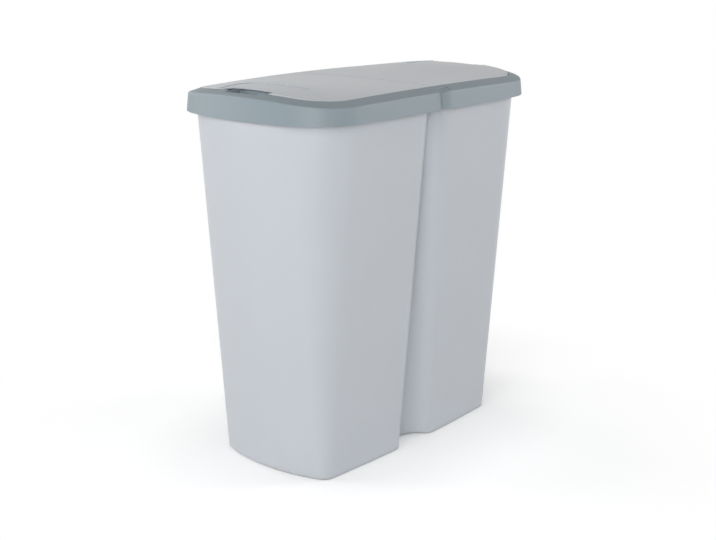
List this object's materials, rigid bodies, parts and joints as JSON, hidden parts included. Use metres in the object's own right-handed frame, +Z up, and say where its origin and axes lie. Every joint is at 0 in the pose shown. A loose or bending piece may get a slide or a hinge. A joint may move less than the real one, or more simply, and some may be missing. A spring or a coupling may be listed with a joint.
{
  "type": "double recycling bin",
  "caption": "Floor-standing plastic bin with two wells side by side, a waisted body, a lift-off crowned lid frame and hinged flaps with finger cut-outs",
  "frame": {"origin": "On the floor, under the middle of the part, between the two wells", "axes": "+X along the row of wells, +Y to the back, +Z up"},
  "size_m": [0.491, 0.278, 0.5089],
  "materials": {
    "body_plastic": "satin",
    "frame_plastic": "satin",
    "flap_plastic": "satin"
  },
  "bodies": {
    "bin_body": {"body": "body_plastic"},
    "frame": {"lid_frame": "frame_plastic"},
    "left_flap": {"flap_left": "flap_plastic"},
    "right_flap": {"flap_right": "flap_plastic"}
  },
  "joints": [
    {"name": "lid_frame_lift", "type": "slide", "parent": "bin_body", "child": "frame", "axis": [0, 0, 1], "range_m": [0, 0.08]},
    {"name": "flap_left_hinge", "type": "hinge", "parent": "frame", "child": "left_flap", "pos_m": [-0.012, 0, 0.4975], "axis": [0, 1, 0], "range_deg": [0, 90]},
    {"name": "flap_right_hinge", "type": "hinge", "parent": "frame", "child": "right_flap", "pos_m": [0.012, 0, 0.4975], "axis": [0, -1, 0], "range_deg": [0, 90]}
  ]
}
